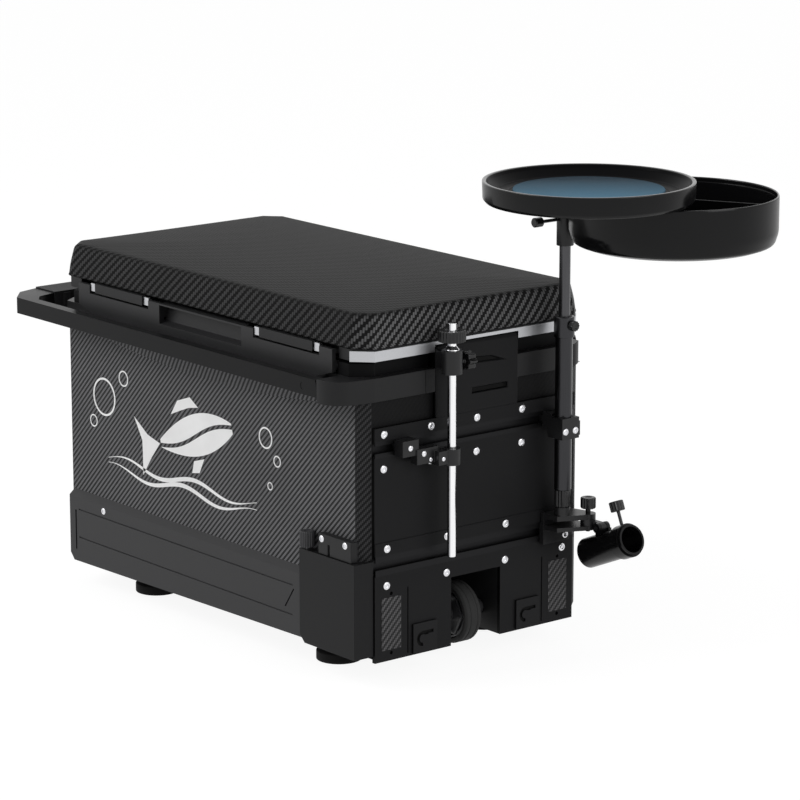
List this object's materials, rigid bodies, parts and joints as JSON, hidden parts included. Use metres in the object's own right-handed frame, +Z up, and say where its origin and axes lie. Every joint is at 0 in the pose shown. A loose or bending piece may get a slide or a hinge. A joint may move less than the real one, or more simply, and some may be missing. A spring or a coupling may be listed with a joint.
{
  "type": "fishing seat box",
  "caption": "Insulated fishing seat box with a padded lid, tow handle, wheel, accessory rails, rod holder, round tray and divided bait bowl on a sliding mast.",
  "frame": {"origin": "centre of the flat underside of the base casing, 28 mm above the ground the feet stand on", "axes": "+X along the box towards the end with the rails, pole and trays; -Y is the front long side with the corner knob; +Z up"},
  "size_m": [0.9427, 0.492, 0.579],
  "materials": {
    "box_plastic": "satin",
    "shell_carbon": "satin",
    "skirt_plastic": "satin",
    "panel_plastic": "matte",
    "insert_carbon": "satin",
    "foam": "matte",
    "liner_plastic": "satin",
    "lid_plastic": "satin",
    "cushion_cover": "satin",
    "gasket_rubber": "matte",
    "rail_metal": "satin",
    "clamp_metal": "satin",
    "bright_steel": "polished",
    "trim_metal": "satin",
    "handle_metal": "satin",
    "grip_rubber": "matte",
    "knob_plastic": "gloss",
    "corner_knob_plastic": "satin",
    "foot_rubber": "matte",
    "tyre_rubber": "matte",
    "hub_plastic": "satin",
    "pole_metal": "satin",
    "mast_metal": "satin",
    "holder_metal": "satin",
    "tray_plastic": "gloss",
    "mat_print": "matte",
    "lever_plastic": "satin",
    "pad_rubber": "matte"
  },
  "bodies": {
    "box": {"base_casing": "box_plastic", "end_plate": "panel_plastic", "carbon_inserts": "insert_carbon", "keyhole_pads": "pad_rubber", "outer_shell": "shell_carbon", "inner_liner": "liner_plastic", "foam_insulation": "foam", "rim_collar": "box_plastic", "neck_ring": "box_plastic", "lever_pins": "bright_steel", "end_block": "panel_plastic", "mid_panel": "panel_plastic", "panel_strips": "panel_plastic", "accessory_rails": "rail_metal", "side_skirts": "skirt_plastic", "corner_bracket": "skirt_plastic", "corner_clamp": "box_plastic", "feet": "foot_rubber", "wheel_axle": "bright_steel", "catch_plates": "bright_steel", "catch_bars": "bright_steel", "handle_pins": "bright_steel", "rod_upper_clamp": "clamp_metal", "rod_lower_clamp": "clamp_metal", "round_screws": "bright_steel"},
    "lid": {"lid_saddles": "lid_plastic", "lid_shell": "lid_plastic", "lid_liner": "liner_plastic", "lid_foam": "foam", "lid_gasket": "gasket_rubber", "lid_trim": "trim_metal", "seat_cushion": "cushion_cover"},
    "front_lever": {"lever_front": "lever_plastic"},
    "rear_lever": {"lever_rear": "lever_plastic"},
    "handle": {"pull_handle": "handle_metal", "handle_grip": "grip_rubber"},
    "wheel": {"wheel_tyre": "tyre_rubber", "wheel_hub": "hub_plastic"},
    "corner_knob": {"corner_knob": "corner_knob_plastic"},
    "rod": {"side_rod": "bright_steel", "rod_stop_knob": "knob_plastic"},
    "rod_knob": {"rod_clamp_knob": "knob_plastic"},
    "carriage": {"pole_clamp": "clamp_metal", "pole_tube": "pole_metal", "holder_bracket": "clamp_metal", "carriage_nuts": "bright_steel"},
    "foot_knob": {"pole_foot_knob": "knob_plastic"},
    "lock_knob": {"pole_lock_knob": "knob_plastic"},
    "mast": {"mast_tube": "mast_metal", "head_clamp": "clamp_metal"},
    "head_knob": {"head_knob": "knob_plastic"},
    "tray": {"tray": "tray_plastic", "tray_mat": "mat_print"},
    "bowl": {"bowl": "tray_plastic", "bowl_hanger": "clamp_metal"},
    "link": {"holder_link": "clamp_metal"},
    "pivot_knob": {"pivot_knob": "knob_plastic"},
    "holder": {"holder_tube": "holder_metal"},
    "butt_screw": {"butt_screw": "knob_plastic"}
  },
  "joints": [
    {"name": "lid_hinge", "type": "hinge", "parent": "box", "child": "lid", "pos_m": [0, 0.1685, 0.3605], "axis": [-1, 0, 0], "range_deg": [0, 80]},
    {"name": "front_lever_pull", "type": "hinge", "parent": "box", "child": "front_lever", "pos_m": [0, -0.163, 0.341], "axis": [-1, 0, 0], "range_deg": [0, 12], "stiffness_Nm_per_rad": 0.8, "springref_deg": -11.46},
    {"name": "rear_lever_pull", "type": "hinge", "parent": "box", "child": "rear_lever", "pos_m": [0, 0.163, 0.341], "axis": [1, 0, 0], "range_deg": [0, 12], "stiffness_Nm_per_rad": 0.8, "springref_deg": -11.46},
    {"name": "handle_swing", "type": "hinge", "parent": "box", "child": "handle", "pos_m": [0.236, 0, 0.3195], "axis": [0, -1, 0], "range_deg": [-60, 0]},
    {"name": "wheel_spin", "type": "hinge", "parent": "box", "child": "wheel", "pos_m": [0.262, 0, 0.026], "axis": [0, 1, 0], "continuous": true},
    {"name": "corner_knob_turn", "type": "hinge", "parent": "box", "child": "corner_knob", "pos_m": [0.2086, -0.1747, 0.13], "axis": [0, 0, 1], "range_deg": [-360, 0]},
    {"name": "rod_slide", "type": "slide", "parent": "box", "child": "rod", "axis": [0, 0, 1], "range_m": [0, 0.06]},
    {"name": "rod_knob_turn", "type": "hinge", "parent": "box", "child": "rod_knob", "pos_m": [0.322, -0.035, 0.34], "axis": [0, 1, 0], "range_deg": [-360, 0]},
    {"name": "carriage_slide", "type": "slide", "parent": "box", "child": "carriage", "axis": [0, 1, 0], "range_m": [-0.08, 0.006]},
    {"name": "foot_knob_turn", "type": "hinge", "parent": "carriage", "child": "foot_knob", "pos_m": [0.325, 0.1105, 0.157], "axis": [0, 0, 1], "range_deg": [-360, 0]},
    {"name": "lock_knob_turn", "type": "hinge", "parent": "carriage", "child": "lock_knob", "pos_m": [0.345, 0.1105, 0.364], "axis": [1, 0, 0], "range_deg": [-360, 0]},
    {"name": "mast_slide", "type": "slide", "parent": "carriage", "child": "mast", "axis": [0, 0, 1], "range_m": [-0.07, 0.045]},
    {"name": "head_knob_turn", "type": "hinge", "parent": "mast", "child": "head_knob", "pos_m": [0.325, 0.0685, 0.487], "axis": [0, 1, 0], "range_deg": [-360, 0]},
    {"name": "tray_swivel", "type": "hinge", "parent": "mast", "child": "tray", "pos_m": [0.325, 0.1105, 0.51], "axis": [0, 0, 1], "range_deg": [-90, 60]},
    {"name": "bowl_swivel", "type": "hinge", "parent": "mast", "child": "bowl", "pos_m": [0.325, 0.1105, 0.498], "axis": [0, 0, 1], "range_deg": [-40, 12]},
    {"name": "link_swing", "type": "hinge", "parent": "carriage", "child": "link", "pos_m": [0.338, 0.139, 0.127], "axis": [0, 0, 1], "range_deg": [-10, 60]},
    {"name": "pivot_knob_turn", "type": "hinge", "parent": "carriage", "child": "pivot_knob", "pos_m": [0.338, 0.139, 0.15], "axis": [0, 0, 1], "range_deg": [-360, 0]},
    {"name": "holder_tilt", "type": "hinge", "parent": "link", "child": "holder", "pos_m": [0.356, 0.144, 0.1225], "axis": [0, 1, 0], "range_deg": [-10, 10]},
    {"name": "butt_screw_turn", "type": "hinge", "parent": "holder", "child": "butt_screw", "pos_m": [0.39858, 0.144, 0.11453], "axis": [-0.3939, 0, 0.9191], "range_deg": [-360, 0]}
  ]
}
